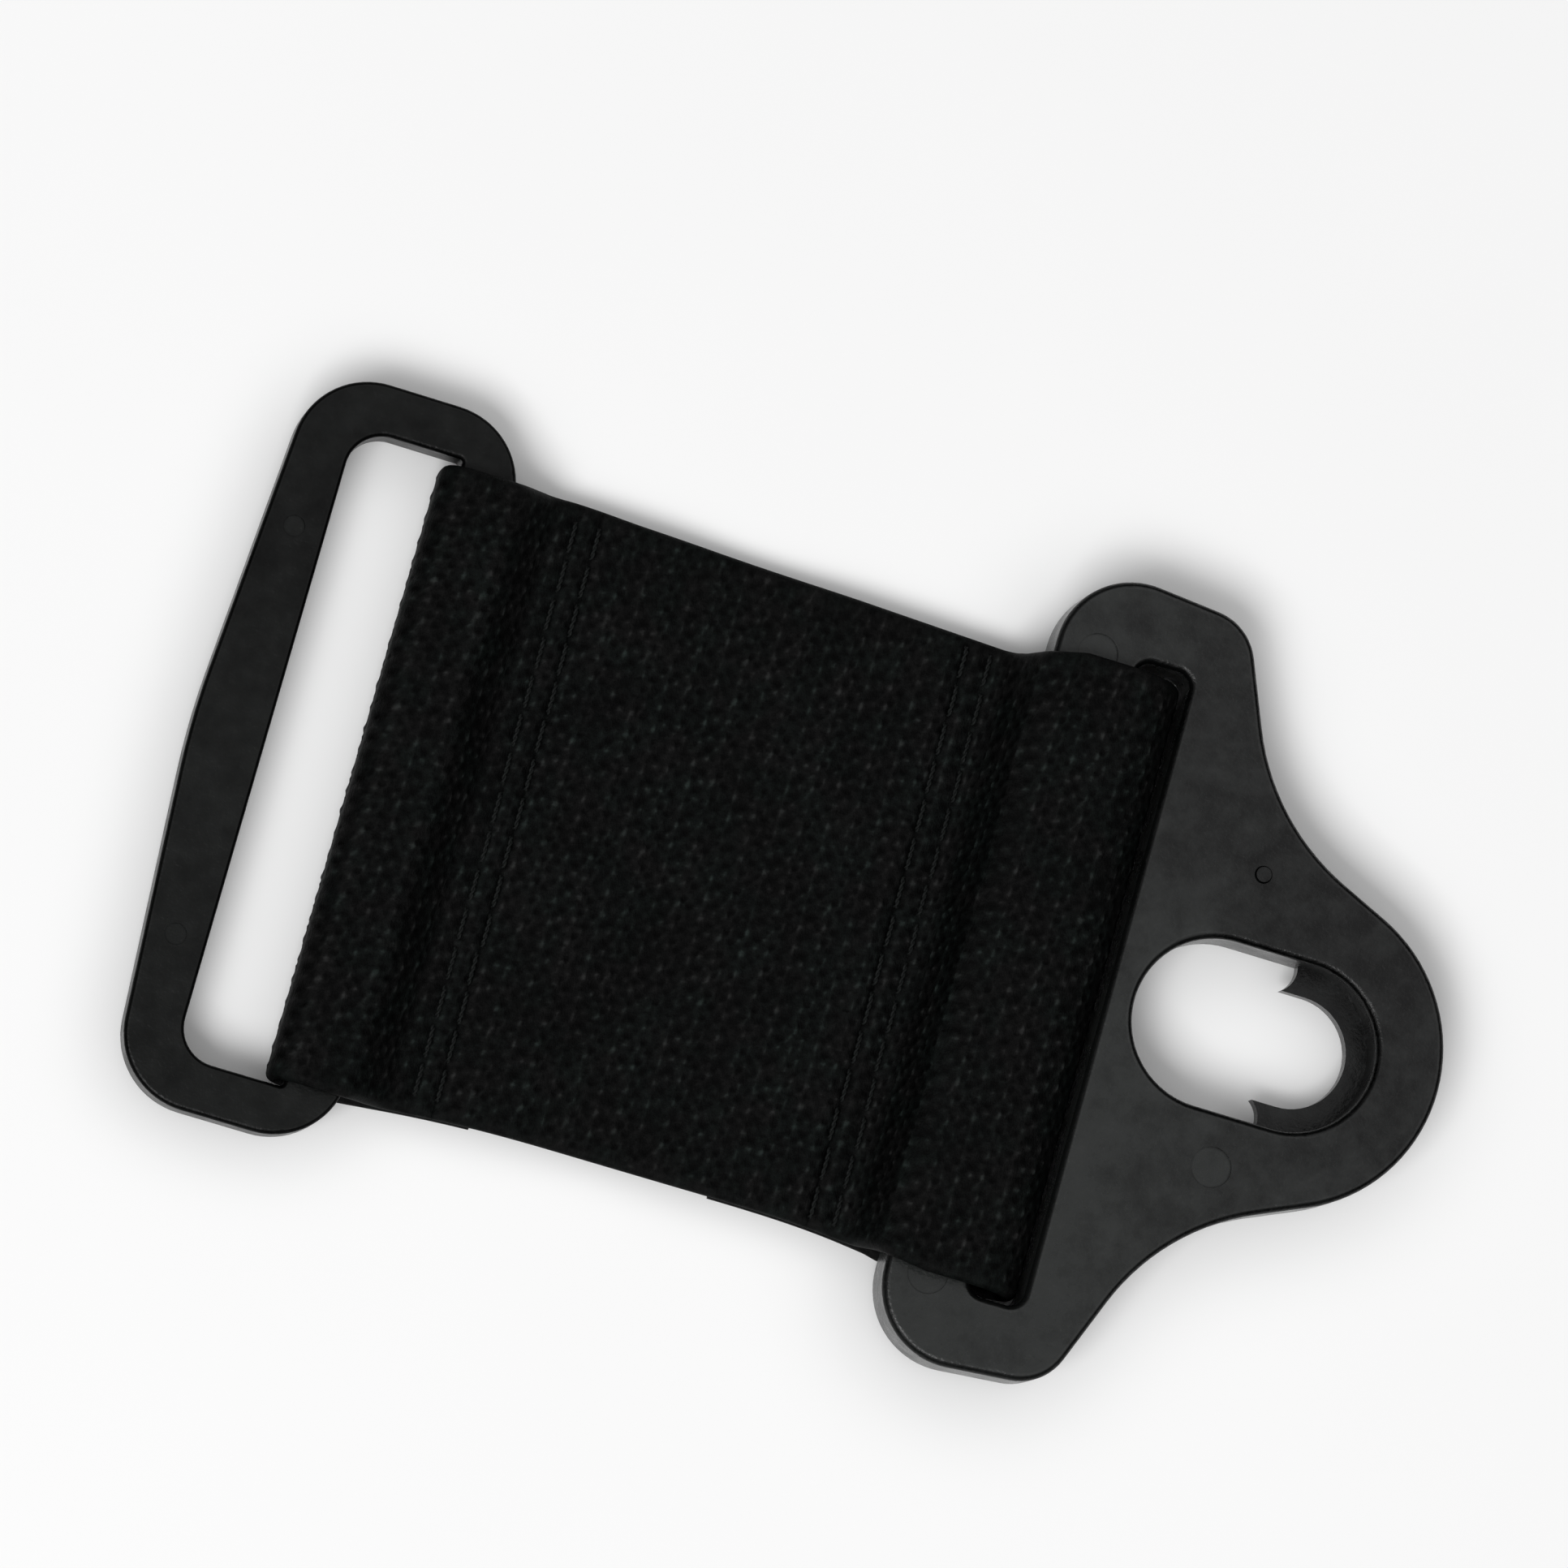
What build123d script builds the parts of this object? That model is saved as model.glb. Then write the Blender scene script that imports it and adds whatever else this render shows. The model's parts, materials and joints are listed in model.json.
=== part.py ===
from build123d import *
import math
import os

# Elastic strap with a slotted ring at one end and a keyhole bracket at the other.
# +X runs along the strap from the ring to the bracket's nose, +Y across the webbing and
# +Z up through the front face. The origin is the middle of the footprint, on the plane
# that the webbing's back rests on. All sizes are in millimetres.

# Overall layout along X
overall_length = 100.0
ring_depth = 18.9  # ring, from its bowed outer edge to its webbing bar's outer edge
strap_span = 43.1  # open strap between the two plastic parts
ring_tip_x = -overall_length / 2
ring_edge_x = ring_tip_x + ring_depth
bracket_edge_x = ring_edge_x + strap_span
nose_tip_x = overall_length / 2

# Webbing: one 50 mm elastic tape, folded back and sewn at each end
web_thick = 1.4
web_half_at_ring = 24.9
web_top_at_bracket = 23.3  # the tape is narrower here and lies towards -Y in its slot
web_bottom_at_bracket = -24.5
loop_gap = 0.1  # between the tape's loop and the bar inside it
ring_hinge_from_edge = 2.8  # flex line, where the two plies come together
bracket_hinge_from_edge = 2.6
ring_hinge_x = ring_edge_x + ring_hinge_from_edge
bracket_hinge_x = bracket_edge_x - bracket_hinge_from_edge
flex_gap = 0.3  # clearance between a loop and the sewn strap beside it
ring_flap_end_x = ring_edge_x + 10.2
bracket_flap_end_x = bracket_edge_x - 13.8
stretch_split_x = (ring_flap_end_x + bracket_flap_end_x) / 2
stretch_split_gap = 0.1
ply_end_round = 0.99 * web_thick

# Ring
ring_thick = 3.0
ring_half_length = 28.9
ring_side_angle = 3.8  # the bowed edge is two straight lines at this angle to Y
ring_bow_radius = 60.0
ring_left_corner = 6.0
ring_right_corner = 5.9
ring_bar_width = 4.6
ring_slot_width = 8.5
ring_slot_half_length = 25.0
ring_slot_left_corner = 2.9
ring_slot_right_corner = 0.3  # small enough for the tape to lie in it
ring_edge_round = 0.4

# Bracket, measured from its own bar edge
bracket_thick = 4.5
bracket_bar_width = 6.6
bracket_slot_width = 4.4
bracket_slot_half_length = 25.4
bracket_slot_corner = 1.2
lobe_bar_corner = (0.0, 31.86)
lobe_flank_corner = (14.27, 30.6)
flank_waist_corner = (20.02, 16.25)
lobe_bar_radius = 6.2
lobe_flank_radius = 4.3
flank_radius = 18.0
nose_radius = 12.7
bracket_top_round = 0.6
bracket_back_round = 0.3

# Keyhole, measured from the bracket's bar edge
key_radius = 6.55
key_start = 13.25
key_length = 19.4
seat_radius = 4.4
seat_centre = 26.6
ledge_thick = 1.2
barb_radius = 2.0
barb_centre = (23.5, 6.05)
ledge_start = 24.5  # the ledge fills the keyhole from here to its nose end

# Marks left by moulding
mark_depth = 0.15
ring_mark_radius = 0.85
ring_mark_from_tip = 3.3
ring_mark_y = 16.25
bracket_mark_radius = 1.6
bar_mark = (3.3, 24.8)
web_mark = (22.3, -10.8)
gate_place = (20.3, 12.1)
gate_radius = 0.7
gate_height = 0.2
gate_taper = 30

# Sewing: two lockstitch rows on each flap, a needle and a bobbin thread in each
thread_radius = 0.17
thread_bend = 0.24
stitch_count = 15
stitch_pitch = 3.1
stitch_length = 2.4
ring_rows_from_edge = (5.3, 7.1)
bracket_rows_from_edge = (4.1, 6.1)
lock_gap = 0.1  # between the needle thread's lowest and the bobbin thread's highest point
bobbin_lift = 0.02  # keeps the bobbin thread off the resting plane

# Levels above the resting plane
plate_bottom_z = web_thick + loop_gap
ring_top_z = plate_bottom_z + ring_thick
bracket_top_z = plate_bottom_z + bracket_thick
strap_top_z = 2 * web_thick


def tangent_point(corner, centre_x, radius):
    """Where a line from corner touches the circle on the X axis, on the far side from the axis."""
    reach_x = corner[0] - centre_x
    reach = math.hypot(reach_x, corner[1])
    turn = math.atan2(corner[1], reach_x) - math.acos(radius / reach)
    return (centre_x + radius * math.cos(turn), radius * math.sin(turn))


def web_top(x):
    """The tape's +Y selvedge along the strap."""
    share = (x - ring_hinge_x) / (bracket_hinge_x - ring_hinge_x)
    return web_half_at_ring + share * (web_top_at_bracket - web_half_at_ring)


def web_bottom(x):
    """The tape's -Y selvedge along the strap."""
    share = (x - ring_hinge_x) / (bracket_hinge_x - ring_hinge_x)
    return -web_half_at_ring + share * (web_bottom_at_bracket + web_half_at_ring)


def export(piece, name):
    piece.part.label = name
    export_step(piece.part, f"parts/{name}.step")


def make_ring():
    """Flat ring with one long slot, a bowed outer bar and a straight bar for the webbing."""
    slope = math.radians(ring_side_angle)
    apex_x = ring_tip_x - ring_bow_radius * (1 / math.cos(slope) - 1)
    shoulder_x = apex_x + ring_half_length * math.tan(slope)
    slot_right_x = ring_edge_x - ring_bar_width
    slot_left_x = slot_right_x - ring_slot_width
    with BuildPart() as ring:
        with BuildSketch(Plane.XY.offset(plate_bottom_z)):
            with BuildLine():
                FilletPolyline(
                    (ring_edge_x, ring_half_length),
                    (shoulder_x, ring_half_length),
                    (apex_x, 0),
                    (shoulder_x, -ring_half_length),
                    (ring_edge_x, -ring_half_length),
                    radius=[
                        ring_right_corner,
                        ring_left_corner,
                        ring_bow_radius,
                        ring_left_corner,
                        ring_right_corner,
                    ],
                    close=True,
                )
            make_face()
            with BuildLine():
                FilletPolyline(
                    (slot_right_x, ring_slot_half_length),
                    (slot_left_x, ring_slot_half_length),
                    (slot_left_x, -ring_slot_half_length),
                    (slot_right_x, -ring_slot_half_length),
                    radius=[
                        ring_slot_right_corner,
                        ring_slot_left_corner,
                        ring_slot_left_corner,
                        ring_slot_right_corner,
                    ],
                    close=True,
                )
            make_face(mode=Mode.SUBTRACT)
        extrude(amount=ring_thick)
        flat_faces = ring.faces().filter_by(Axis.Z)
        fillet(flat_faces.edges(), ring_edge_round)
        with BuildSketch(Plane.XY.offset(ring_top_z - mark_depth)):
            with Locations(
                (ring_tip_x + ring_mark_from_tip, ring_mark_y),
                (ring_tip_x + ring_mark_from_tip, -ring_mark_y),
            ):
                Circle(ring_mark_radius)
        extrude(amount=2 * mark_depth, mode=Mode.SUBTRACT)
    return ring


def make_bracket():
    """Plate with two lobes, a webbing slot, and a nose round a keyhole with a barbed ledge."""
    base = Plane((bracket_edge_x, 0, plate_bottom_z))
    nose_tip = nose_tip_x - bracket_edge_x
    nose_centre = nose_tip - nose_radius
    nose_start = tangent_point(flank_waist_corner, nose_centre, nose_radius)
    slot_centre = bracket_bar_width + bracket_slot_width / 2
    key_centre = key_start + key_length / 2
    with BuildPart() as bracket:
        with BuildSketch(base):
            with BuildLine():
                FilletPolyline(
                    (0, 0),
                    lobe_bar_corner,
                    lobe_flank_corner,
                    flank_waist_corner,
                    nose_start,
                    radius=[lobe_bar_radius, lobe_flank_radius, flank_radius],
                )
                mirror(about=Plane.XZ)
                ThreePointArc(nose_start, (nose_tip, 0), (nose_start[0], -nose_start[1]))
            make_face()
            with Locations((slot_centre, 0)):
                RectangleRounded(
                    bracket_slot_width,
                    2 * bracket_slot_half_length,
                    bracket_slot_corner,
                    mode=Mode.SUBTRACT,
                )
            with Locations((key_centre, 0)):
                SlotOverall(key_length, 2 * key_radius, mode=Mode.SUBTRACT)
        extrude(amount=bracket_thick)
        fillet(bracket.faces().sort_by(Axis.Z)[-1].edges(), bracket_top_round)
        back = bracket.faces().sort_by(Axis.Z)[0]
        fillet(back.outer_wire().edges(), bracket_back_round)

        # The ledge fills the keyhole's nose end at the back, open to the entry between two barbs.
        with BuildSketch(base):
            with Locations((key_centre, 0)):
                SlotOverall(key_length, 2 * key_radius)
            with Locations((ledge_start, 0)):
                Rectangle(
                    key_length,
                    2 * key_radius,
                    align=(Align.MAX, Align.CENTER),
                    mode=Mode.SUBTRACT,
                )
            with Locations(barb_centre, (barb_centre[0], -barb_centre[1])):
                Circle(barb_radius, mode=Mode.SUBTRACT)
            with Locations((seat_centre, 0)):
                Circle(seat_radius, mode=Mode.SUBTRACT)
            with Locations((seat_centre - seat_radius, 0)):
                Rectangle(2 * seat_radius, 2 * seat_radius, mode=Mode.SUBTRACT)
        extrude(amount=ledge_thick)

        # Shallow ejector marks, two of them half under the webbing, and the gate's nub
        with BuildSketch(base.offset(bracket_thick - mark_depth)):
            with Locations(bar_mark, (bar_mark[0], -bar_mark[1]), web_mark):
                Circle(bracket_mark_radius)
        extrude(amount=2 * mark_depth, mode=Mode.SUBTRACT)
        with BuildSketch(base.offset(bracket_thick)):
            with Locations(gate_place):
                Circle(gate_radius)
        extrude(amount=gate_height, taper=gate_taper)
    return bracket


def make_loop(bar_from_x, bar_to_x, flex_face_x, bar_thick, y_low, y_high):
    """Sleeve of webbing round a bar, from its flat face at the flex line to its rounded far side."""
    wrap = web_thick + loop_gap
    if flex_face_x > bar_to_x:
        outer_from_x, outer_to_x = bar_from_x - wrap, flex_face_x
    else:
        outer_from_x, outer_to_x = flex_face_x, bar_to_x + wrap
    far_side = Axis.X if flex_face_x < bar_from_x else -Axis.X
    outer_height = bar_thick + 2 * wrap
    width = y_high - y_low
    section = Plane(origin=(0, y_low, 0), x_dir=(1, 0, 0), z_dir=(0, 1, 0))
    with BuildPart() as loop:
        with BuildSketch(section):
            with Locations(((outer_from_x + outer_to_x) / 2, -outer_height / 2)):
                Rectangle(outer_to_x - outer_from_x, outer_height)
            with Locations(((bar_from_x + bar_to_x) / 2, -outer_height / 2)):
                Rectangle(
                    bar_to_x - bar_from_x + 2 * loop_gap,
                    bar_thick + 2 * loop_gap,
                    mode=Mode.SUBTRACT,
                )
        extrude(amount=width)
        far_edges = loop.edges().filter_by(Axis.Y).sort_by(far_side)[-2:]
        fillet(far_edges, wrap)
    return loop


def make_half(end_x, flap_end_x, split_x):
    """Half of the sewn strap: the front ply and the flap under it, rounded at the flex line."""
    with BuildPart() as half:
        with BuildSketch(Plane.XY.offset(web_thick)):
            with BuildLine():
                Polyline(
                    (end_x, web_bottom(end_x)),
                    (split_x, web_bottom(split_x)),
                    (split_x, web_top(split_x)),
                    (end_x, web_top(end_x)),
                    close=True,
                )
            make_face()
        extrude(amount=web_thick)
        with BuildSketch(Plane.XY):
            with BuildLine():
                Polyline(
                    (end_x, web_bottom(end_x)),
                    (flap_end_x, web_bottom(flap_end_x)),
                    (flap_end_x, web_top(flap_end_x)),
                    (end_x, web_top(end_x)),
                    close=True,
                )
            make_face()
        extrude(amount=web_thick)
        end_face = half.faces().sort_by_distance((end_x, 0, web_thick))[0]
        fillet(end_face.edges().filter_by(Axis.Y), ply_end_round)
    return half


def make_thread(row_x, face_z, lock_z):
    """One thread of a lockstitch row: runs on the face at face_z, joined by dips to lock_z."""
    first_y = -((stitch_count - 1) * stitch_pitch + stitch_length) / 2
    first_y += (web_top(row_x) + web_bottom(row_x)) / 2
    points = []
    for stitch in range(stitch_count):
        start_y = first_y + stitch * stitch_pitch
        end_y = start_y + stitch_length
        points += [
            (row_x, start_y, lock_z),
            (row_x, start_y, face_z),
            (row_x, end_y, face_z),
            (row_x, end_y, lock_z),
        ]
    with BuildPart() as thread:
        with BuildLine() as path:
            FilletPolyline(*points, radius=thread_bend)
        with BuildSketch(Plane(origin=points[0], z_dir=(0, 0, face_z - lock_z))):
            Circle(thread_radius)
        sweep(path=path.line)
    return thread


os.makedirs("parts", exist_ok=True)

export(make_ring(), "slotted_ring")
export(make_bracket(), "keyhole_bracket")

ring_loop = make_loop(
    ring_edge_x - ring_bar_width,
    ring_edge_x,
    ring_hinge_x - web_thick - flex_gap,
    ring_thick,
    -web_half_at_ring,
    web_half_at_ring,
)
export(ring_loop, "webbing_ring_loop")

bracket_loop = make_loop(
    bracket_edge_x,
    bracket_edge_x + bracket_bar_width,
    bracket_hinge_x + web_thick + flex_gap,
    bracket_thick,
    web_bottom_at_bracket,
    web_top_at_bracket,
)
export(bracket_loop, "webbing_bracket_loop")

ring_half = make_half(
    ring_hinge_x - web_thick, ring_flap_end_x, stretch_split_x - stretch_split_gap / 2
)
export(ring_half, "webbing_ring_half")

bracket_half = make_half(
    bracket_hinge_x + web_thick, bracket_flap_end_x, stretch_split_x + stretch_split_gap / 2
)
export(bracket_half, "webbing_bracket_half")

rows = {
    "ring_inner": ring_edge_x + ring_rows_from_edge[0],
    "ring_outer": ring_edge_x + ring_rows_from_edge[1],
    "bracket_inner": bracket_edge_x - bracket_rows_from_edge[0],
    "bracket_outer": bracket_edge_x - bracket_rows_from_edge[1],
}
lock_offset = thread_radius + lock_gap / 2
for row, row_x in rows.items():
    needle = make_thread(row_x, strap_top_z, web_thick + lock_offset)
    export(needle, f"needle_thread_{row}")
    bobbin = make_thread(row_x, thread_radius + bobbin_lift, web_thick - lock_offset)
    export(bobbin, f"bobbin_thread_{row}")
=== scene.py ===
import json
import math

import bpy
import numpy as np
from mathutils import Matrix, Vector


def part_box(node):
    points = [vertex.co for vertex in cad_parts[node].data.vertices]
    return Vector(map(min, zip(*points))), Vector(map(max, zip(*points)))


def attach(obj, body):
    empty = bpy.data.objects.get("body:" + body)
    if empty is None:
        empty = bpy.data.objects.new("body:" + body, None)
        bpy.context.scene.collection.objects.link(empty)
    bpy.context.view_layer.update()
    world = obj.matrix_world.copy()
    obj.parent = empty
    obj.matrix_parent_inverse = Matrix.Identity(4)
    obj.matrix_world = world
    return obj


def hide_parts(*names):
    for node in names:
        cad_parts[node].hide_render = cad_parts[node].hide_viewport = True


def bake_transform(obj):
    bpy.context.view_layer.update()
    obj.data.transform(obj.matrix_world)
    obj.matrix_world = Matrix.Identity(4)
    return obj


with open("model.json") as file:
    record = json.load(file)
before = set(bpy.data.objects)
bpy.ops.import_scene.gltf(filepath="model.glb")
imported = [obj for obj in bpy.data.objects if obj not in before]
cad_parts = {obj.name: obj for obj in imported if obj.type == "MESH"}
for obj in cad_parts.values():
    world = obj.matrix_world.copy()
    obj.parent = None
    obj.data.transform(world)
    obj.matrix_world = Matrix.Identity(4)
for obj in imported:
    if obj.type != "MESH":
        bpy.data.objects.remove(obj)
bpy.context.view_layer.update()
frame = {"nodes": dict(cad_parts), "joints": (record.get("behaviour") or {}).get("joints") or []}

# A flat ring and a keyhole bracket joined by one piece of 50 mm elastic webbing. The plastic
# parts are the CAD nodes with moulded-plastic materials; the webbing and its sewing are built
# here. Lengths are in millimetres until MM turns them into Blender's metres.

MM = 0.001
hinges = {joint["name"]: Vector(joint["pos_m"]) / MM for joint in frame["joints"] if "pos_m" in joint}


def cad_box(node):
    low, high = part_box(node)
    return low / MM, high / MM


ring_loop_low, ring_loop_high = cad_box("webbing_ring_loop")
bracket_loop_low, bracket_loop_high = cad_box("webbing_bracket_loop")
ring_low, ring_high = cad_box("slotted_ring")
bracket_low, bracket_high = cad_box("keyhole_bracket")
ring_hinge, bracket_hinge = hinges["ring_swing"], hinges["bracket_swing"]

# Webbing, as in the solids
THICK = ring_hinge.z  # the flex line lies between two plies, one thickness up
HALF_THICK = THICK / 2
WEAVE_LONG = 3.75  # one repeat of the weave along the tape: two ribs
WEAVE_WIDE = 1.715  # one repeat across the tape
STEP_ALONG = WEAVE_LONG / 16
STEP_ACROSS = WEAVE_WIDE / 8
RELIEF_DEPTH = 0.26
MEAN_RELIEF = 0.55
RING_CUT_X = ring_high.x + 7.1  # the pieces of tape meet under the stitch rows nearest the middle
BRACKET_CUT_X = bracket_low.x - 6.1
RING_FLAP_END_X = ring_high.x + 10.2
BRACKET_FLAP_END_X = bracket_low.x - 13.8
BRACKET_SLOT_END_X = bracket_low.x + 11.0
SAG = 0.45  # of the single ply between the flaps
SELVEDGE_ROUND = 0.7
SELVEDGE_STEPS = 5
SEAM_DEPTH = 0.22  # how far a stitch row draws the tape's face in
SEAM_REACH = 0.55
CALM_EDGE = 1.3  # the weave fades towards each selvedge over this width
SEALED_END = 0.9  # and towards a cut and sealed end over this length
NOMINAL_WIDTH = 50.0
BACK_FACE_V = 100.0  # sets the back face's weave apart from the front's in the UV map
RING_BENDS = (1.7, 1.7, 1.5, 2.2)  # radii of the tape's middle line, from the flap to the open strap
BRACKET_BENDS = (1.6, 1.2, 4.1, 1.9)  # from the open strap to the flap

# Sewing
ROWS = {
    "ring_inner": ring_high.x + 5.3,
    "ring_outer": ring_high.x + 7.1,
    "bracket_inner": bracket_low.x - 4.1,
    "bracket_outer": bracket_low.x - 6.1,
}


# ---------------------------------------------------------------- materials


def fill_ramp(node, stops):
    """Give a colour ramp (place, colour or grey) stops."""
    elements = node.color_ramp.elements
    while len(elements) < len(stops):
        elements.new(0.5)
    for element, (place, tone) in zip(elements, stops):
        element.position = place
        element.color = (*tone, 1) if hasattr(tone, "__len__") else (tone, tone, tone, 1)


class Nodes:
    """A material's node tree, with short calls to add and join nodes."""

    def __init__(self, name):
        self.material = bpy.data.materials.new(name)
        self.material.use_nodes = True
        self.tree = self.material.node_tree
        self.shader = self.tree.nodes["Principled BSDF"]

    def add(self, kind, **values):
        node = self.tree.nodes.new(kind)
        for key, value in values.items():
            if key in node.inputs:
                node.inputs[key].default_value = value
            else:
                setattr(node, key, value)
        return node

    def join(self, source, target):
        self.tree.links.new(source, target)

    def math(self, operation, first, second=None):
        node = self.add("ShaderNodeMath", operation=operation)
        for socket, value in zip(node.inputs, (first, second)):
            if value is None:
                continue
            if isinstance(value, (int, float)):
                socket.default_value = value
            else:
                self.join(value, socket)
        return node.outputs[0]

    def multiply(self, first, second):
        """One colour times another."""
        node = self.add("ShaderNodeVectorMath", operation="MULTIPLY")
        self.join(first, node.inputs[0])
        self.join(second, node.inputs[1])
        return node.outputs["Vector"]

    def ramp(self, source, stops):
        """A colour ramp through (place, colour or grey) stops."""
        node = self.add("ShaderNodeValToRGB")
        fill_ramp(node, stops)
        self.join(source, node.inputs[0])
        return node.outputs[0]

    def noise(self, coordinates, scale, detail=3.0, roughness=0.5):
        node = self.add("ShaderNodeTexNoise", Scale=scale, Detail=detail, Roughness=roughness)
        self.join(coordinates, node.inputs["Vector"])
        return node.outputs["Fac"]

    def bump(self, height, distance, strength=1.0, normal=None):
        node = self.add("ShaderNodeBump", Strength=strength, Distance=distance)
        self.join(height, node.inputs["Height"])
        if normal is not None:
            self.join(normal, node.inputs["Normal"])
        return node.outputs["Normal"]


RIM_PAINTED_SHADE = 0.25  # painted shade: the rounded edge round each face, next to the grained face, darkened in colour and specular


def plastic(name, dark, light, specular, roughness, fade, start, mark_highlights=()):
    """Moulded plastic: spark-eroded grain, cloudy flow marks, fine scuffs and a varying satin sheen,
    with painted light: a painted sheen across the face, painted highlights on the moulding marks and
    painted shade on the rounded edges.

    fade, per metre, and start set the painted sheen: how the face's colour pales from one end to the
    other, standing in for the light across the face.
    The moulding marks, each a centre and a radius in mm, are painted paler than the face as painted
    highlights."""
    nodes = Nodes(name)
    place = nodes.add("ShaderNodeTexCoord").outputs["Object"]
    clouds = nodes.noise(place, 60.0, 3.0, 0.5)
    mottle = nodes.noise(place, 420.0, 4.0, 0.65)
    # Painted sheen: a straight colour gradient across the part, paler towards one end, standing in for
    # light on the face.
    painted_sheen = nodes.add("ShaderNodeVectorMath", operation="DOT_PRODUCT")
    painted_sheen.inputs[1].default_value = fade
    nodes.join(place, painted_sheen.inputs[0])
    cloudy = nodes.math("MULTIPLY", nodes.math("SUBTRACT", nodes.math("ADD", clouds, mottle), 1.0), 1.25)
    shade = nodes.math("ADD", nodes.math("ADD", painted_sheen.outputs["Value"], start), cloudy)
    # Painted highlight: each moulding mark is painted paler than the face round it.
    for centre, radius in mark_highlights:
        reach = nodes.add("ShaderNodeVectorMath", operation="DISTANCE")
        nodes.join(place, reach.inputs[0])
        reach.inputs[1].default_value = Vector(centre) * MM
        near = nodes.math("SUBTRACT", 1.0, nodes.math("DIVIDE", reach.outputs["Value"], radius * MM))
        shade = nodes.math("ADD", shade, nodes.ramp(near, [(0.0, 0.0), (0.12, 0.45)]))
    # Painted shade: faces between flat and upright, the rounded edges, get a darker colour and less
    # specular, standing in for the dark surroundings they reflect.
    facing = nodes.add("ShaderNodeSeparateXYZ")
    nodes.join(nodes.add("ShaderNodeTexCoord").outputs["Normal"], facing.inputs[0])
    painted_rim_shade = nodes.ramp(facing.outputs["Z"], [(0.06, 1.0), (0.22, RIM_PAINTED_SHADE), (0.90, RIM_PAINTED_SHADE), (0.98, 1.0)])
    face = nodes.ramp(shade, [(0.1, dark), (0.95, light)])
    nodes.join(nodes.multiply(face, painted_rim_shade), nodes.shader.inputs["Base Color"])
    rough = nodes.ramp(mottle, [(0.3, roughness - 0.07), (0.7, roughness + 0.09)])
    nodes.join(rough, nodes.shader.inputs["Roughness"])
    nodes.join(nodes.math("MULTIPLY", painted_rim_shade, specular), nodes.shader.inputs["Specular IOR Level"])

    stretch = nodes.add("ShaderNodeMapping")
    stretch.inputs["Scale"].default_value = (1.0, 14.0, 1.0)
    stretch.inputs["Rotation"].default_value = (0.0, 0.0, math.radians(28))
    nodes.join(place, stretch.inputs["Vector"])
    scuffs = nodes.noise(stretch.outputs[0], 260.0, 5.0, 0.75)
    scuff_lines = nodes.ramp(scuffs, [(0.45, 0.0), (0.80, 1.0)])
    grain = nodes.noise(place, 4200.0, 2.0, 0.55)
    pebble = nodes.noise(place, 1300.0, 3.0, 0.6)
    fine = nodes.bump(grain, 0.00005, 0.6)
    pebbled = nodes.bump(pebble, 0.00010, 0.5, fine)
    nodes.join(nodes.bump(scuff_lines, 0.00001, 0.15, pebbled), nodes.shader.inputs["Normal"])
    return nodes.material


def webbing_material(name):
    """Black elastic yarn: painted shade darkens the holes of the weave and painted highlights pale the
    knot tops, with spun fibres that catch light.
    """
    nodes = Nodes(name)
    uv = nodes.add("ShaderNodeUVMap", uv_map="weave").outputs["UV"]
    relief = nodes.add("ShaderNodeAttribute", attribute_name="relief").outputs["Fac"]
    place = nodes.add("ShaderNodeTexCoord").outputs["Object"]
    patches = nodes.noise(place, 240.0, 3.0, 0.6)
    lint = nodes.noise(place, 1900.0, 3.0, 0.7)
    uneven = nodes.math("ADD", nodes.math("MULTIPLY", patches, 0.30), nodes.math("MULTIPLY", lint, 0.55))
    height = nodes.math("ADD", relief, nodes.math("SUBTRACT", uneven, 0.425))
    # Painted shade and highlight: the colour darkens a hundredfold down into the holes of the weave and
    # pales on the knot tops.
    tone = nodes.ramp(
        height,
        [
            (0.20, (0.0002, 0.0002, 0.0002)),
            (0.44, (0.0011, 0.0012, 0.0012)),
            (0.66, (0.0052, 0.0055, 0.0054)),
            (0.95, (0.0205, 0.0222, 0.0217)),
        ],
    )
    dye = nodes.noise(place, 330.0, 2.0, 0.5)
    tint = nodes.ramp(dye, [(0.40, (1.0, 0.94, 0.95)), (0.60, (0.80, 1.0, 0.94))])
    nodes.join(nodes.multiply(tone, tint), nodes.shader.inputs["Base Color"])
    nodes.shader.inputs["Roughness"].default_value = 0.55
    nodes.shader.inputs["Specular IOR Level"].default_value = 0.05

    yarn = nodes.add("ShaderNodeMapping")
    yarn.inputs["Scale"].default_value = (1.0, 0.35, 1.0)
    yarn.inputs["Rotation"].default_value = (0.0, 0.0, math.radians(35))
    nodes.join(uv, yarn.inputs["Vector"])
    fibres = nodes.noise(yarn.outputs[0], 7.0, 4.0, 0.65)
    fuzz = nodes.noise(place, 9000.0, 2.0, 0.6)
    twisted = nodes.bump(fibres, 0.00012, 0.8)
    nodes.join(nodes.bump(fuzz, 0.00004, 0.5, twisted), nodes.shader.inputs["Normal"])
    return nodes.material


def thread_material(name):
    """Twisted polyester sewing thread with a faint lustre."""
    nodes = Nodes(name)
    place = nodes.add("ShaderNodeTexCoord").outputs["Object"]
    strands = nodes.noise(place, 8000.0, 3.0, 0.6)
    tone = nodes.ramp(strands, [(0.3, (0.0026, 0.0029, 0.0028)), (0.7, (0.0115, 0.0130, 0.0126))])
    nodes.join(tone, nodes.shader.inputs["Base Color"])
    nodes.shader.inputs["Roughness"].default_value = 0.65
    nodes.shader.inputs["Specular IOR Level"].default_value = 0.10
    nodes.join(nodes.bump(strands, 0.00004, 0.6), nodes.shader.inputs["Normal"])
    return nodes.material


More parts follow.
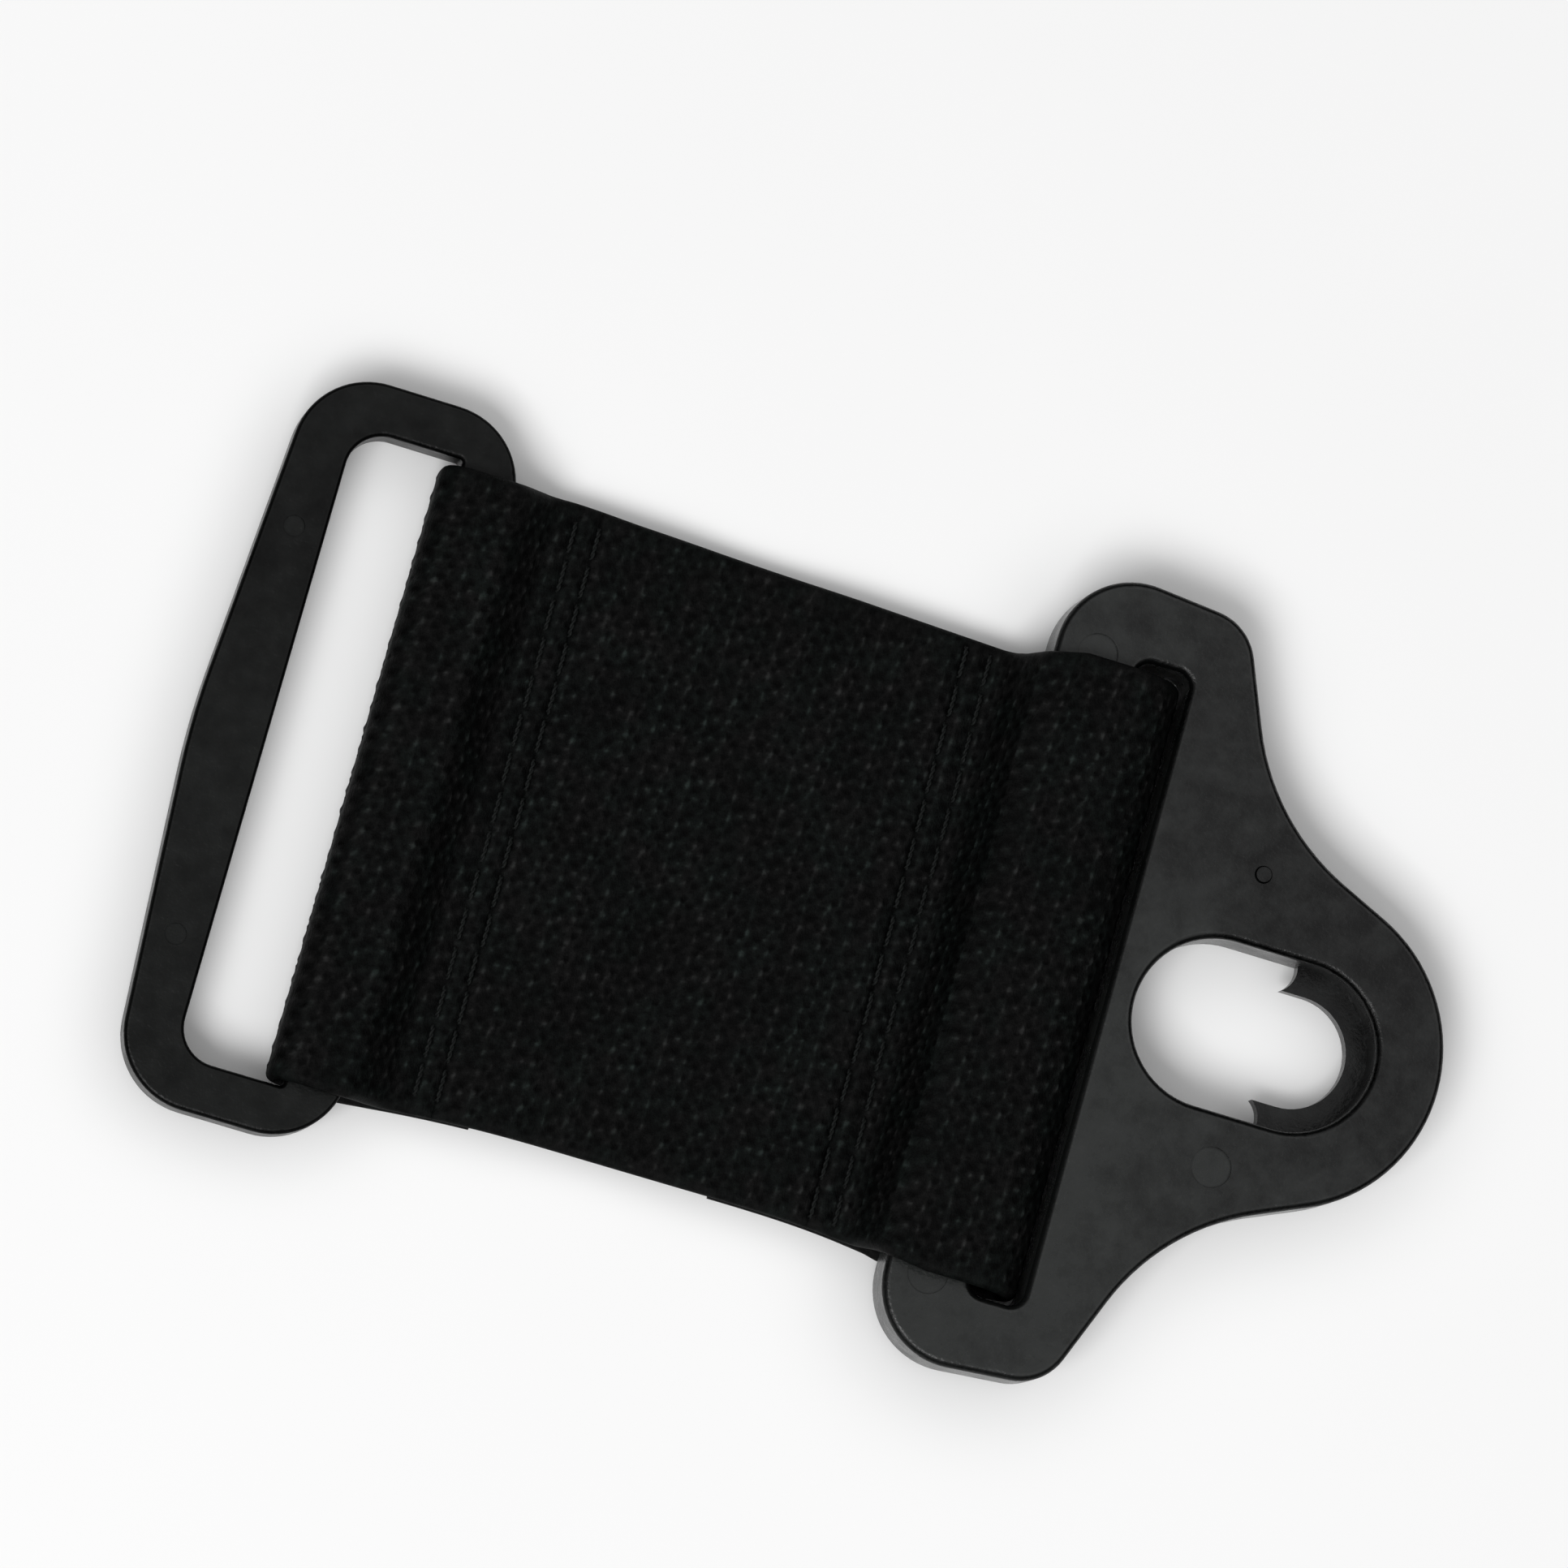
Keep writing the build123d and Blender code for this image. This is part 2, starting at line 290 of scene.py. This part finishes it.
def floor_material(name):
    nodes = Nodes(name)
    place = nodes.add("ShaderNodeTexCoord").outputs["Object"]
    paper = nodes.noise(place, 30.0, 2.0)
    nodes.join(nodes.ramp(paper, [(0.2, 0.895), (0.8, 0.905)]), nodes.shader.inputs["Base Color"])
    nodes.shader.inputs["Roughness"].default_value = 0.9
    nodes.shader.inputs["Specular IOR Level"].default_value = 0.0
    return nodes.material


# ---------------------------------------------------------------- webbing


def rounded_path(corners, radii, step):
    """Points every step along straight runs joined by tangent arcs, in the XZ plane."""
    corners = [np.array(corner, float) for corner in corners]
    dense = [corners[0]]
    for before, corner, after, radius in zip(corners, corners[1:], corners[2:], radii):
        back, ahead = before - corner, after - corner
        back, ahead = back / np.linalg.norm(back), ahead / np.linalg.norm(ahead)
        half_open = math.acos(np.clip(back @ ahead, -1, 1)) / 2
        bisector = (back + ahead) / np.linalg.norm(back + ahead)
        centre = corner + bisector * radius / math.sin(half_open)
        start = corner + back * radius / math.tan(half_open) - centre
        end = corner + ahead * radius / math.tan(half_open) - centre
        first = math.atan2(start[1], start[0])
        turn = math.atan2(start[0] * end[1] - start[1] * end[0], start @ end)
        count = max(4, math.ceil(abs(turn) * radius / (0.3 * step)))
        for angle in first + turn * np.linspace(0, 1, count + 1):
            dense.append(centre + radius * np.array([math.cos(angle), math.sin(angle)]))
    dense.append(corners[-1])
    points = np.array(dense)
    gaps = np.linalg.norm(np.diff(points, axis=0), axis=1)
    points = points[np.concatenate([[True], gaps > 1e-6])]
    run = np.concatenate([[0], np.cumsum(np.linalg.norm(np.diff(points, axis=0), axis=1))])
    stations = np.linspace(0, run[-1], round(run[-1] / step) + 1)
    return stations, np.interp(stations, run, points[:, 0]), np.interp(stations, run, points[:, 1])


def eased(x, places, values):
    """Smooth steps between a few (place, value) pairs."""
    x = np.clip(x, places[0], places[-1])
    k = np.clip(np.searchsorted(places, x) - 1, 0, len(places) - 2)
    places, values = np.array(places), np.array(values)
    share = (x - places[k]) / (places[k + 1] - places[k])
    slopes = np.gradient(values, places)
    width = places[k + 1] - places[k]
    a, b = values[k], values[k + 1]
    p, q = slopes[k] * width, slopes[k + 1] * width
    s2, s3 = share**2, share**3
    return a * (2 * s3 - 3 * s2 + 1) + p * (s3 - 2 * s2 + share) + b * (3 * s2 - 2 * s3) + q * (s3 - s2)


def selvedges(x):
    """(-Y edge, +Y edge) of the tape at x: waisted in the middle and pulled over at the bracket."""
    ring_x, slot_x = ring_high.x, bracket_low.x
    places = [ring_x, ring_x + 3, ring_x + 11, slot_x]
    top = eased(x, places, [24.35, 24.70, 24.55, 23.55])
    top += np.clip((x - slot_x + 1.5) / 4, 0, 1) * 0.95
    places = [ring_x, ring_x + 6, ring_x + 26, slot_x - 4, slot_x]
    bottom = eased(x, places, [-24.6, -24.0, -23.55, -23.85, -24.3])
    bottom -= np.clip((x - slot_x + 1) / 4, 0, 1) * 0.5
    return bottom, top


# Each repeat of the weave, from its left rib: place along and across, reach along and across,
# and height. Places and reaches along are in mm; places across are shares of a repeat.
KNOTS = [
    (1.50, 0.00, 0.20, 0.20, 0.38),
    (0.80, 0.65, 0.17, 0.20, 0.26),
    (2.52, 0.02, 0.17, 0.21, 0.26),
    (0.22, 0.10, 0.16, 0.18, 0.24),
    (3.12, 0.62, 0.16, 0.19, 0.26),
    (2.05, 0.52, 0.15, 0.18, 0.24),
]
HOLES = [
    (1.46, 0.46, 0.25, 0.21, 0.48),
    (2.86, 0.38, 0.19, 0.21, 0.48),
    (3.42, 0.04, 0.21, 0.21, 0.48),
    (0.38, 0.44, 0.18, 0.19, 0.40),
    (2.26, 0.84, 0.17, 0.18, 0.38),
    (0.95, 0.12, 0.16, 0.18, 0.36),
]
RIDGES = [(0.60, 0.08, 0.60, 0.17, 0.30), (2.38, 0.09, 0.95, 0.16, 0.34), (3.14, 0.10, 0.30, 0.13, 0.18)]


def relief(u, v):
    """Height of the weave from 0, a hole, to 1, a knot's top. u runs along the tape, v across.

    A repeat has two wavy ribs with a column of knots and holes after the first and a pair of
    staggered holes after the second. Each knot, hole and length of rib is a little different."""
    chance = np.random.default_rng(7)
    size = 64
    tables = chance.random((4, size, size))
    lean = 0.10 * np.sin(0.21 * u + 0.5) + 0.06 * np.sin(0.47 * v)
    height = np.full(u.shape, 0.50)

    def spots(kinds, sign, height):
        for kind, (along, across, reach_u, reach_v, amount) in enumerate(kinds):
            i = np.round((u - along) / WEAVE_LONG).astype(int)
            j = np.round(v / WEAVE_WIDE - across + lean).astype(int)
            a, b = (i + 17 * kind) % size, (j + 7 * kind + size) % size
            off_u = u - along - i * WEAVE_LONG + 0.20 * (tables[0][a, b] - 0.5)
            off_v = v - (j + across - lean) * WEAVE_WIDE + 0.30 * (tables[1][a, b] - 0.5)
            spot = np.exp(-((off_u / reach_u) ** 2) - (off_v / reach_v) ** 2)
            height = height + sign * amount * spot * (0.35 + 0.9 * tables[2][a, b])
        return height

    height = spots(HOLES, -1, height)
    for kind, (along, sway, across, reach, amount) in enumerate(RIDGES):
        i = np.round((u - along) / WEAVE_LONG).astype(int)
        j = np.floor(v / WEAVE_WIDE - across + lean + 0.5).astype(int)
        phase = 2 * math.pi * (v / WEAVE_WIDE - across + lean)
        from_rib = u - along - i * WEAVE_LONG - sway * np.sin(phase)
        uneven = 0.5 + 0.8 * tables[3][(i + 11 * kind) % size, (j + size) % size]
        strength = (0.65 + 0.35 * np.cos(phase)) * uneven
        height = height + amount * strength * np.exp(-((from_rib / reach) ** 2))
    return np.clip(spots(KNOTS, 1, height), 0, 1)


def seam_pull(x):
    """How far the stitch rows draw the tape's faces in."""
    pull = np.zeros_like(x)
    for row_x in ROWS.values():
        pull += SEAM_DEPTH * np.exp(-(((x - row_x) / SEAM_REACH) ** 2))
    return pull


def places_across():
    """Places across the nominal width, closest round the selvedges, and the share of thickness there."""
    half = NOMINAL_WIDTH / 2
    flat = np.arange(-half + SELVEDGE_ROUND, half - SELVEDGE_ROUND, STEP_ACROSS)
    turns = np.linspace(0, math.pi / 2, SELVEDGE_STEPS + 1)[1:]
    edge = half - SELVEDGE_ROUND + SELVEDGE_ROUND * np.sin(turns)
    crown = np.concatenate([np.cos(turns)[::-1], np.ones(len(flat)), np.cos(turns)])
    crown[0] = crown[-1] = 0
    return np.concatenate([-edge[::-1], flat, edge]), crown


def web_faces(corners, radii, u_start, sealed_start, sealed_end):
    """The two woven faces of one stretch of tape along a path: points, relief, u, v and length."""
    stations, x, z = rounded_path(corners, radii, STEP_ALONG)
    u = u_start + stations
    open_span = np.clip((x - RING_FLAP_END_X) / (BRACKET_FLAP_END_X - RING_FLAP_END_X), 0, 1)
    z = z - np.where(z > THICK, SAG * np.sin(math.pi * open_span) ** 2, 0)
    along = np.gradient(np.stack([x, z], axis=1), axis=0)
    along /= np.linalg.norm(along, axis=1, keepdims=True)
    out_x, out_z = -along[:, 1], along[:, 0]

    v, crown = places_across()
    bottom, top = selvedges(x)
    uu, vv = np.meshgrid(u, v, indexing="ij")
    y = (bottom + top)[:, None] / 2 + vv * ((top - bottom) / NOMINAL_WIDTH)[:, None]
    calm = np.clip((NOMINAL_WIDTH / 2 - np.abs(v)) / CALM_EDGE, 0.15, 1)
    ends = np.ones(len(u))
    if sealed_start:
        ends *= np.clip(stations / SEALED_END, 0, 1)
    if sealed_end:
        ends *= np.clip((stations[-1] - stations) / SEALED_END, 0, 1)
    double_ply = (x < RING_FLAP_END_X) | (x > BRACKET_FLAP_END_X)
    outer_pull = np.where(double_ply & (z < 2 * THICK), seam_pull(x), 0)

    faces, heights = [], []
    for sign, shift, pull in ((1, 0.0, outer_pull), (-1, WEAVE_LONG / 2, 0 * x)):
        woven = MEAN_RELIEF + (relief(uu + shift, vv) - MEAN_RELIEF) * ends[:, None] * calm[None, :]
        reach = (HALF_THICK - RELIEF_DEPTH * (1 - woven) - pull[:, None]) * crown[None, :]
        px = x[:, None] + sign * reach * out_x[:, None]
        pz = z[:, None] + sign * reach * out_z[:, None]
        faces.append(np.stack([px, y, pz], axis=2))
        heights.append(woven)
    return faces, heights, u, v, stations[-1]


def web_piece(name, corners, radii, u_start, material, sealed_start=False, sealed_end=False):
    """One stretch of the tape as a closed skin with woven relief on both faces."""
    faces, heights, u, v, length = web_faces(corners, radii, u_start, sealed_start, sealed_end)
    back_columns = np.arange(len(v) - 2, 0, -1)
    skin = np.concatenate([faces[0], faces[1][:, back_columns]], axis=1)
    height = np.concatenate([heights[0], heights[1][:, back_columns]], axis=1)
    v_around = np.concatenate([v, v[back_columns] + BACK_FACE_V])
    rows, around = len(u), len(v_around)
    index = np.arange(rows * around).reshape(rows, around)
    near, far = index[:-1], index[1:]
    quads = np.stack([near, far, np.roll(far, -1, axis=1), np.roll(near, -1, axis=1)], axis=2)
    quads = quads.reshape(-1, 4)
    front = np.arange(len(v))
    back = np.concatenate([[0], np.arange(around - 1, len(v) - 1, -1), [len(v) - 1]])
    caps = []
    for row, flip in ((0, False), (rows - 1, True)):
        for k in range(len(v) - 1):
            columns = (front[k], front[k + 1], back[k + 1], back[k])
            loop = list(dict.fromkeys(index[row, column] for column in columns))
            caps.append(loop[::-1] if flip else loop)
    mesh = bpy.data.meshes.new(name)
    mesh.from_pydata((skin.reshape(-1, 3) * MM).tolist(), [], quads.tolist() + caps)
    smooth = np.ones(len(mesh.polygons), bool)
    smooth[len(quads) :] = False
    mesh.polygons.foreach_set("use_smooth", smooth)
    stored = mesh.attributes.new("relief", "FLOAT", "POINT")
    stored.data.foreach_set("value", height.reshape(-1).astype(np.float32))
    loops = np.zeros(len(mesh.loops), np.int32)
    mesh.loops.foreach_get("vertex_index", loops)
    flat = np.stack([np.repeat(u, around), np.tile(v_around, rows)], axis=1)
    mesh.uv_layers.new(name="weave").data.foreach_set("uv", flat[loops].reshape(-1))
    mesh.materials.append(material)
    mesh.validate()
    piece = bpy.data.objects.new(name, mesh)
    bpy.context.scene.collection.objects.link(piece)
    return piece, length


def make_webbing():
    material = webbing_material("black_elastic")
    low_z = ring_loop_low.z + HALF_THICK
    front_z = ring_hinge.z + HALF_THICK

    ring_side_x = ring_loop_low.x + HALF_THICK
    ring_top_z = ring_loop_high.z - HALF_THICK
    ring_corners = [
        (RING_FLAP_END_X, low_z),
        (ring_side_x, low_z),
        (ring_side_x, ring_top_z),
        (ring_high.x + 0.1, ring_top_z),
        (ring_hinge.x + 0.3, front_z),
        (RING_CUT_X, front_z),
    ]
    run, _, _ = rounded_path(ring_corners, RING_BENDS, STEP_ALONG)
    ring_end, ring_length = web_piece(
        "webbing_ring_end", ring_corners, RING_BENDS, -run[-1], material, sealed_start=True
    )

    middle, middle_length = web_piece(
        "webbing_middle", [(RING_CUT_X, front_z), (BRACKET_CUT_X, front_z)], (), 0.0, material
    )

    bracket_side_x = BRACKET_SLOT_END_X - 0.10 - HALF_THICK
    bracket_top_z = bracket_loop_high.z - HALF_THICK
    bracket_corners = [
        (BRACKET_CUT_X, front_z),
        (bracket_hinge.x + 0.2, front_z),
        (bracket_low.x - 0.2, bracket_top_z),
        (bracket_side_x, bracket_top_z),
        (bracket_side_x, low_z),
        (BRACKET_FLAP_END_X, low_z),
    ]
    bracket_end, bracket_length = web_piece(
        "webbing_bracket_end",
        bracket_corners,
        BRACKET_BENDS,
        BRACKET_CUT_X - RING_CUT_X,
        material,
        sealed_end=True,
    )

    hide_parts("webbing_ring_loop", "webbing_ring_half")
    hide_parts("webbing_bracket_loop", "webbing_bracket_half")
    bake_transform(ring_end)
    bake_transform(middle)
    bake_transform(bracket_end)


# ---------------------------------------------------------------- sewing

STITCH_COUNT = 15
STITCH_PITCH = 3.1
STITCH_LENGTH = 2.45
# Along each stitch, as shares of its length, and height over the face
STITCH_ARCH = [
    (0, -0.75),
    (0.02, -0.25),
    (0.14, 0.04),
    (0.5, 0.10),
    (0.86, 0.04),
    (0.98, -0.25),
    (1, -0.75),
]
STRAND_RADIUS = 0.10
STRAND_OFFSET = 0.085
TWIST_PITCH = 1.1
NEEDLE_LEVEL = -0.10  # the needle thread's level against the front face, in its drawn-in row
BOBBIN_LEVEL = 0.30  # the bobbin thread's level over the plane that the tape rests on


def thread_line(row_x, face_z, inward, seed):
    """Points of one thread: low arches on the face, dipping into the tape at each needle hole."""
    shaky = np.random.default_rng(seed)
    bottom, top = selvedges(np.array([row_x]))
    first_y = (bottom[0] + top[0]) / 2 - ((STITCH_COUNT - 1) * STITCH_PITCH + STITCH_LENGTH) / 2
    points = []
    for stitch in range(STITCH_COUNT):
        start = first_y + stitch * STITCH_PITCH
        x = row_x + shaky.normal(0, 0.05)
        for share, lift in STITCH_ARCH:
            points.append((x, start + share * STITCH_LENGTH, face_z - inward * lift))
    return points


def smooth_line(points, step=0.12):
    """A Catmull-Rom curve through points, sampled about every step."""
    points = np.array(points)
    padded = np.concatenate([[2 * points[0] - points[1]], points, [2 * points[-1] - points[-2]]])
    line = []
    for a, b, c, d in zip(padded, padded[1:], padded[2:], padded[3:]):
        count = max(2, round(np.linalg.norm(c - b) / step))
        for t in np.arange(count) / count:
            square, cube = 2 * a - 5 * b + 4 * c - d, 3 * b - a - 3 * c + d
            line.append(0.5 * (2 * b + (c - a) * t + square * t**2 + cube * t**3))
    line.append(points[-1])
    return np.array(line)


def twisted_thread(name, points, material):
    """Two strands twisted together along a smooth line."""
    line = smooth_line(points)
    along = np.gradient(line, axis=0)
    along /= np.linalg.norm(along, axis=1, keepdims=True)
    side = np.tile([1.0, 0.0, 0.0], (len(line), 1))
    side -= along * (side * along).sum(1, keepdims=True)
    side /= np.linalg.norm(side, axis=1, keepdims=True)
    over = np.cross(along, side)
    run = np.concatenate([[0], np.cumsum(np.linalg.norm(np.diff(line, axis=0), axis=1))])
    facets = 6
    vertices, faces = [], []
    for strand in (0, math.pi):
        spin = 2 * math.pi * run / TWIST_PITCH + strand
        centre = line + STRAND_OFFSET * (np.cos(spin)[:, None] * side + np.sin(spin)[:, None] * over)
        base = len(vertices)
        for row in range(len(line)):
            for facet in range(facets):
                angle = 2 * math.pi * facet / facets
                outward = math.cos(angle) * side[row] + math.sin(angle) * over[row]
                vertices.append(tuple((centre[row] + STRAND_RADIUS * outward) * MM))
        for row in range(len(line) - 1):
            for facet in range(facets):
                after = (facet + 1) % facets
                low, high = base + row * facets, base + (row + 1) * facets
                faces.append((low + facet, low + after, high + after, high + facet))
        faces.append(tuple(base + facet for facet in reversed(range(facets))))
        last = base + (len(line) - 1) * facets
        faces.append(tuple(last + facet for facet in range(facets)))
    mesh = bpy.data.meshes.new(name)
    mesh.from_pydata(vertices, [], faces)
    mesh.polygons.foreach_set("use_smooth", np.ones(len(faces), bool))
    mesh.materials.append(material)
    piece = bpy.data.objects.new(name, mesh)
    bpy.context.scene.collection.objects.link(piece)
    return piece


def make_sewing():
    material = thread_material("black_thread")
    front_z = 2 * THICK + NEEDLE_LEVEL
    back_z = BOBBIN_LEVEL
    for number, (row, row_x) in enumerate(ROWS.items()):
        body = "strap_ring_end" if row.startswith("ring") else "strap_bracket_end"
        needle = twisted_thread(f"needle_{row}", thread_line(row_x, front_z, -1, 2 * number), material)
        bobbin = twisted_thread(f"bobbin_{row}", thread_line(row_x, back_z, 1, 2 * number + 1), material)
        for piece, node in ((needle, f"needle_thread_{row}"), (bobbin, f"bobbin_thread_{row}")):
            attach(piece, body)
            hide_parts(node)


# ---------------------------------------------------------------- plastic, floor, light, camera


# Moulding marks, from each part's -X edge, as in the solids; each gets a painted highlight
RING_MARKS = [(3.3, 16.25), (3.3, -16.25)]
RING_MARK_RADIUS = 0.85
BRACKET_MARKS = [(3.3, 24.8), (3.3, -24.8), (22.3, -10.8)]
BRACKET_MARK_RADIUS = 1.6


def finish_plastic():
    # Each plastic gets a painted sheen from fade and start, painted highlights on its moulding marks and
    # painted shade on its rounded edges.
    ring_plastic = plastic(
        "ring_black",
        dark=(0.0005, 0.0006, 0.0006),
        light=(0.0052, 0.0058, 0.0055),
        specular=0.20,
        roughness=0.34,
        fade=(0, -10, 0),
        start=0.60,
        mark_highlights=[((ring_low.x + x, y, ring_high.z), RING_MARK_RADIUS) for x, y in RING_MARKS],
    )
    bracket_plastic = plastic(
        "bracket_charcoal",
        dark=(0.0004, 0.0004, 0.0005),
        light=(0.0156, 0.0170, 0.0165),
        specular=0.43,
        roughness=0.28,
        fade=(-20, -8, 0),
        start=1.15,
        mark_highlights=[((bracket_low.x + x, y, bracket_high.z), BRACKET_MARK_RADIUS) for x, y in BRACKET_MARKS],
    )
    for node, material in (("slotted_ring", ring_plastic), ("keyhole_bracket", bracket_plastic)):
        piece = frame["nodes"][node]
        piece.data.materials.clear()
        piece.data.materials.append(material)


def make_floor():
    reach = 1.5
    mesh = bpy.data.meshes.new("floor")
    mesh.from_pydata(
        [(-reach, -reach, 0), (reach, -reach, 0), (reach, reach, 0), (-reach, reach, 0)], [], [(0, 1, 2, 3)]
    )
    mesh.materials.append(floor_material("pale_floor"))
    floor = bpy.data.objects.new("floor", mesh)
    floor.location.z = -0.00005
    bpy.context.scene.collection.objects.link(floor)


def area_light(name, place, size, power, target=(0, 0, 0)):
    lamp = bpy.data.lights.new(name, "AREA")
    lamp.shape = "RECTANGLE"
    lamp.size, lamp.size_y = size
    lamp.energy = power
    light = bpy.data.objects.new(name, lamp)
    light.location = place
    light.rotation_euler = (Vector(target) - Vector(place)).to_track_quat("-Z", "Y").to_euler()
    bpy.context.scene.collection.objects.link(light)


# Brightness of the surroundings against the sine of the height above the horizon
SKY = [(0.0, 0.02), (0.42, 0.03), (0.58, 0.9), (0.80, 1.0), (0.90, 0.5), (1.0, 0.40)]


def make_light():
    """A band of soft light round the part, dim overhead and dark near the floor, and a key light."""
    world = bpy.data.worlds.new("studio")
    world.use_nodes = True
    tree = world.node_tree
    background = tree.nodes["Background"]
    place = tree.nodes.new("ShaderNodeTexCoord")
    split = tree.nodes.new("ShaderNodeSeparateXYZ")
    ramp = tree.nodes.new("ShaderNodeValToRGB")
    tree.links.new(place.outputs["Generated"], split.inputs[0])
    tree.links.new(split.outputs["Z"], ramp.inputs[0])
    tree.links.new(ramp.outputs[0], background.inputs["Color"])
    fill_ramp(ramp, SKY)
    background.inputs["Strength"].default_value = 1.0
    bpy.context.scene.world = world
    area_light("key", (-0.5, -1.0, 1.5), (1.2, 0.8), 22.0)


def make_camera():
    """Over the part, leaning towards its -X and -Y sides, with the strap turned in the picture."""
    lean_x, lean_y = math.radians(8.0), math.radians(9.5)
    strap_turn = math.radians(16.9)
    distance = 0.70
    aim = Vector((-5.15, 8.31, 4.0)) * MM
    back = Vector((-math.tan(lean_x), -math.tan(lean_y), 1)).normalized()
    right = Vector((math.cos(strap_turn), math.sin(strap_turn), 0))
    right = (right - back * right.dot(back)).normalized()
    up = back.cross(right)
    data = bpy.data.cameras.new("camera")
    data.lens = 210.3
    data.sensor_width = 36
    data.clip_start, data.clip_end = 0.05, 20
    camera = bpy.data.objects.new("camera", data)
    axes = Matrix((right, up, back)).transposed()
    camera.matrix_world = Matrix.Translation(aim + back * distance) @ axes.to_4x4()
    bpy.context.scene.collection.objects.link(camera)
    bpy.context.scene.camera = camera


make_webbing()
make_sewing()
finish_plastic()
make_floor()
make_light()
make_camera()

bpy.context.scene.view_settings.view_transform = "Standard"
bpy.context.scene.view_settings.look = "None"
